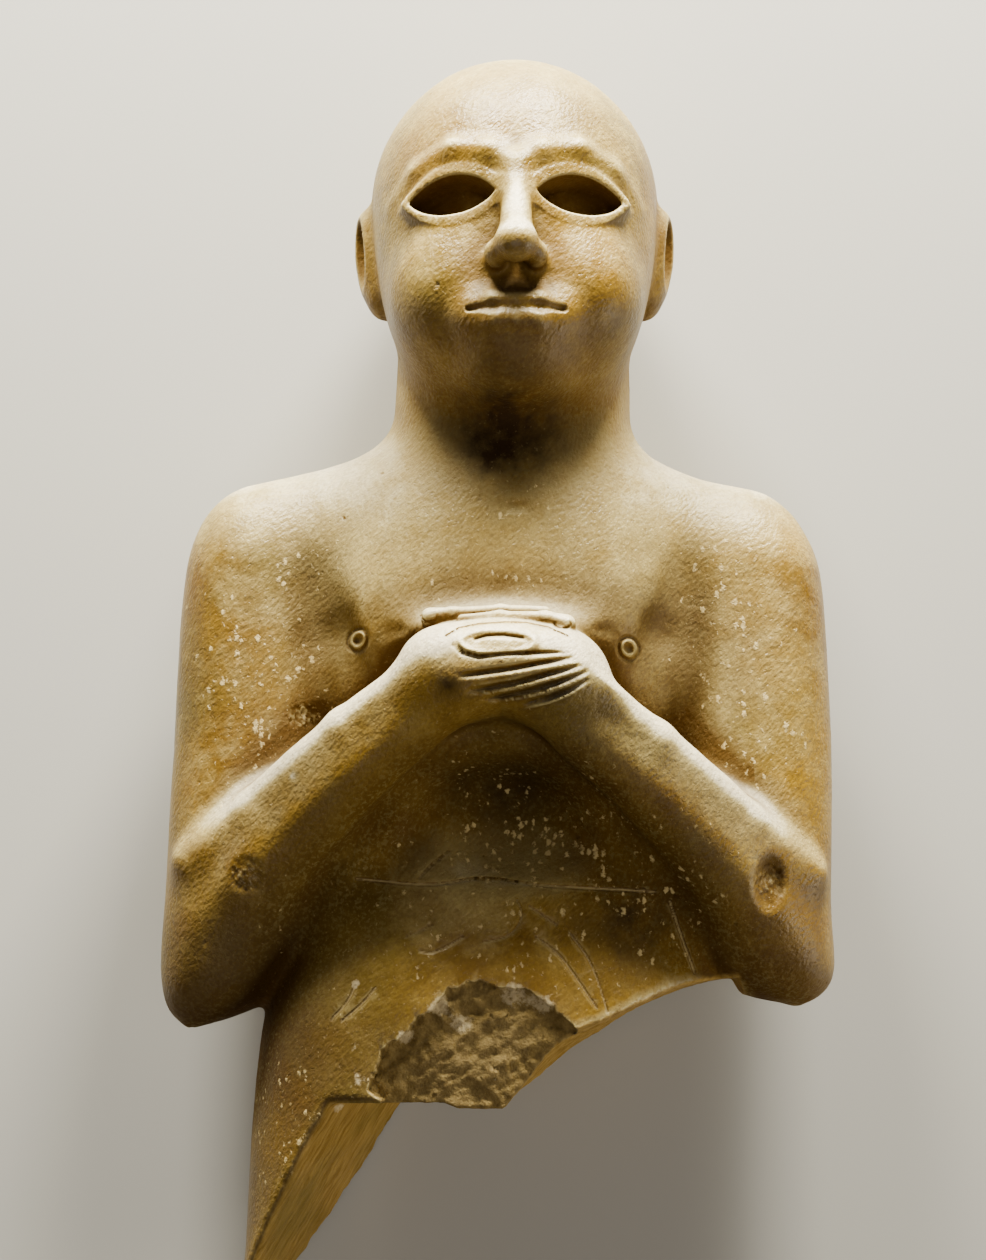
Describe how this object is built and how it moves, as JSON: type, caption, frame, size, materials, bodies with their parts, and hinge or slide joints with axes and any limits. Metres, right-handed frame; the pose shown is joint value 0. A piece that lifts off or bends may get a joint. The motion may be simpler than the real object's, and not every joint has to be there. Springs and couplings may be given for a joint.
{
  "type": "sumerian worshipper figure",
  "caption": "Carved stone bust of a bald, bare-chested worshipper with clasped hands, broken slantwise below the waist, lying on its back.",
  "frame": {"origin": "middle of the outline, on the plane that the back rests on", "axes": "+X across the figure, to the right when it is seen from above its chest, +Y up the body to the crown of the head, +Z out of the chest"},
  "size_m": [0.2208, 0.4186, 0.129],
  "materials": {
    "stone": "worn, softly polished banded gypsum alabaster, rough on the broken faces"
  },
  "bodies": {
    "root": {"worshipper_figure": "stone"}
  },
  "joints": []
}
